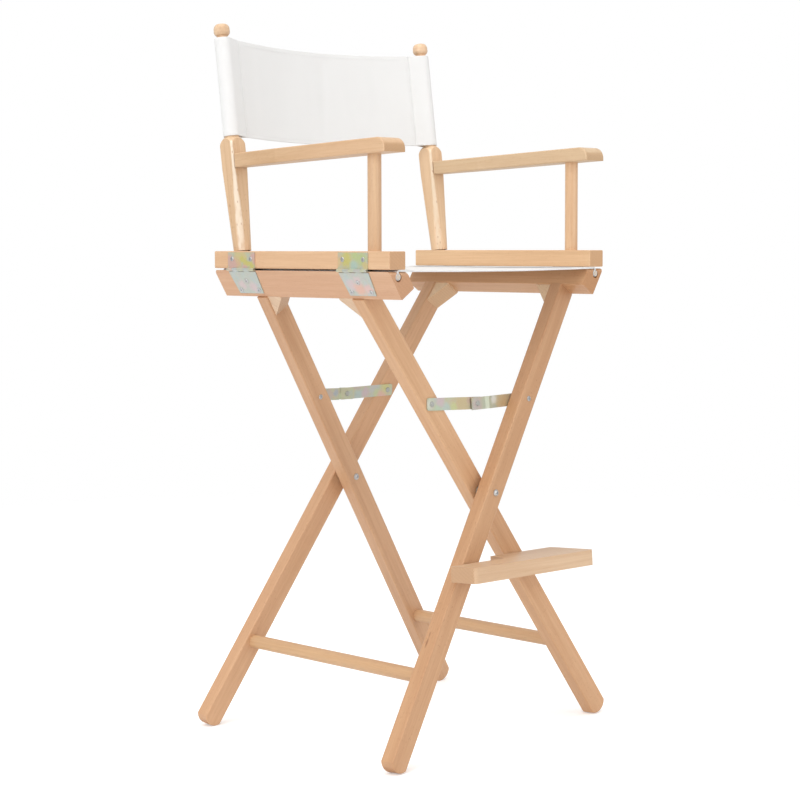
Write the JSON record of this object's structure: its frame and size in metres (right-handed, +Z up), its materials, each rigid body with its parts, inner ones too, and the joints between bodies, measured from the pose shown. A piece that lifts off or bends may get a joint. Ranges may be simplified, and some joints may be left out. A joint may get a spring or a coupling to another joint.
{
  "type": "folding director chair",
  "caption": "Tall folding director chair with crossed wooden legs, slung cloth seat and back, flat armrests, folding stays and a footrest board.",
  "frame": {"origin": "on the floor, in the middle of the whole chair's box", "axes": "+Z up, -Y the front of the chair (the side the sitter faces), +X the sitter's left"},
  "size_m": [0.5502, 0.501, 1.1566],
  "materials": {
    "beech": "pale clear-lacquered beech",
    "canvas": "white woven cotton canvas",
    "yellow_zinc": "yellow passivated zinc plate",
    "bright_screws": "bright zinc plate"
  },
  "bodies": {
    "pivots": {"pivot_bolts": "bright_screws", "pivot_spacers": "yellow_zinc", "pivot_nuts": "yellow_zinc"},
    "inner_frame": {"leg_front_inner": "beech", "leg_rear_inner": "beech", "stretcher_inner": "beech", "lower_rail_right": "beech", "corner_blocks_right": "beech", "seat_rod_right": "beech", "hinge_leaves_lower_right": "yellow_zinc", "hinge_screws_lower_right": "bright_screws", "front_stay_rivet": "yellow_zinc", "rear_stay_screw": "bright_screws", "footrest_peg": "bright_screws", "seat_canvas": "canvas"},
    "outer_frame": {"leg_front_outer": "beech", "leg_rear_outer": "beech", "stretcher_outer": "beech", "lower_rail_left": "beech", "corner_blocks_left": "beech", "seat_rod_left": "beech", "hinge_leaves_lower_left": "yellow_zinc", "hinge_screws_lower_left": "bright_screws", "front_stay_screw": "bright_screws", "rear_stay_rivet": "yellow_zinc", "footrest_bolt": "bright_screws"},
    "right_arm": {"upper_rail_right": "beech", "back_post_right": "beech", "front_post_right": "beech", "armrest_right": "beech", "hinge_leaves_upper_right": "yellow_zinc", "hinge_pins_right": "yellow_zinc", "hinge_screws_upper_right": "bright_screws", "back_canvas": "canvas"},
    "left_arm": {"upper_rail_left": "beech", "back_post_left": "beech", "front_post_left": "beech", "armrest_left": "beech", "hinge_leaves_upper_left": "yellow_zinc", "hinge_pins_left": "yellow_zinc", "hinge_screws_upper_left": "bright_screws"},
    "front_stay_long_link": {"front_stay_long": "yellow_zinc"},
    "front_stay_short_link": {"front_stay_short": "yellow_zinc", "front_stay_mid_rivet": "yellow_zinc"},
    "rear_stay_long_link": {"rear_stay_long": "yellow_zinc"},
    "rear_stay_short_link": {"rear_stay_short": "yellow_zinc", "rear_stay_mid_rivet": "yellow_zinc"},
    "footrest": {"footrest_board": "beech"}
  },
  "joints": [
    {"name": "fold", "type": "hinge", "parent": "pivots", "child": "inner_frame", "pos_m": [0, 0.01824, 0.4016], "axis": [0, 1, 0], "range_deg": [0, 27], "deforming": ["seat_canvas", "back_canvas"]},
    {"name": "fold_outer", "type": "hinge", "parent": "pivots", "child": "outer_frame", "pos_m": [0, 0.01824, 0.4016], "axis": [0, 1, 0], "range_deg": [-27, 0]},
    {"name": "right_arm_hinge", "type": "hinge", "parent": "inner_frame", "child": "right_arm", "pos_m": [-0.25535, 0.01824, 0.75875], "axis": [0, 1, 0], "range_deg": [-27, 0]},
    {"name": "left_arm_hinge", "type": "hinge", "parent": "outer_frame", "child": "left_arm", "pos_m": [0.25535, 0.01824, 0.75875], "axis": [0, 1, 0], "range_deg": [0, 27]},
    {"name": "front_stay_long_turn", "type": "hinge", "parent": "inner_frame", "child": "front_stay_long_link", "pos_m": [-0.09676, -0.12062, 0.54668], "axis": [-0.0464, -0.9965, 0.0696], "range_deg": [0, 99.5]},
    {"name": "front_stay_short_turn", "type": "hinge", "parent": "outer_frame", "child": "front_stay_short_link", "pos_m": [0.0956, -0.13071, 0.54494], "axis": [0.0464, -0.9965, 0.0696], "range_deg": [-113.4, 0]},
    {"name": "rear_stay_long_turn", "type": "hinge", "parent": "outer_frame", "child": "rear_stay_long_link", "pos_m": [0.0956, 0.17118, 0.54494], "axis": [-0.0464, -0.9965, -0.0696], "range_deg": [-99.5, 0]},
    {"name": "rear_stay_short_turn", "type": "hinge", "parent": "inner_frame", "child": "rear_stay_short_link", "pos_m": [-0.09676, 0.16109, 0.54668], "axis": [0.0464, -0.9965, -0.0696], "range_deg": [0, 113.4]},
    {"name": "footrest_lift", "type": "hinge", "parent": "outer_frame", "child": "footrest", "pos_m": [-0.0798, -0.18234, 0.28194], "axis": [-0.0464, -0.9965, 0.0696], "range_deg": [0, 25]}
  ],
  "couplings": [
    {"joint": "fold_outer", "follows": "fold", "ratio": -1},
    {"joint": "right_arm_hinge", "follows": "fold", "ratio": -1},
    {"joint": "left_arm_hinge", "follows": "fold", "ratio": 1},
    {"joint": "front_stay_long_turn", "follows": "fold", "ratio": 3.684},
    {"joint": "front_stay_short_turn", "follows": "fold", "ratio": -4.1973},
    {"joint": "rear_stay_long_turn", "follows": "fold", "ratio": -3.684},
    {"joint": "rear_stay_short_turn", "follows": "fold", "ratio": 4.1973}
  ]
}
